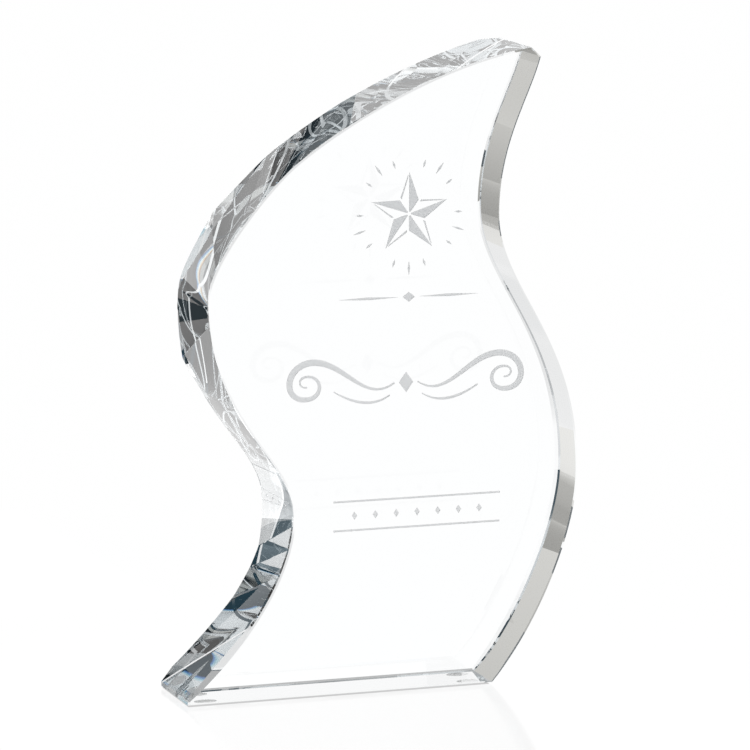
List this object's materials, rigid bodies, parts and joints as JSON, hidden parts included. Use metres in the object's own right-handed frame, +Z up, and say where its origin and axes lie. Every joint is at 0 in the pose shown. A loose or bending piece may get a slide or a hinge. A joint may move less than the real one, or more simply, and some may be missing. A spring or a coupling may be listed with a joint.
{
  "type": "crystal trophy",
  "caption": "Flame-shaped clear crystal award: a thick flat slab with a smooth swept edge on one side and a hand-faceted edge on the other, standing on thin clear pads.",
  "frame": {"origin": "middle of the overall box in X and Y, on the table plane under the pads", "axes": "+X to the right as seen from the front, +Y from the front face to the back face, +Z up"},
  "size_m": [0.1686, 0.0382, 0.2635],
  "materials": {
    "crystal": "ground and polished optical crystal, colourless",
    "pad": "clear satin polyurethane"
  },
  "bodies": {
    "root": {"crystal_block": "crystal", "base_pad_front_left": "pad", "base_pad_front_right": "pad", "base_pad_back_left": "pad", "base_pad_back_right": "pad"}
  },
  "joints": []
}
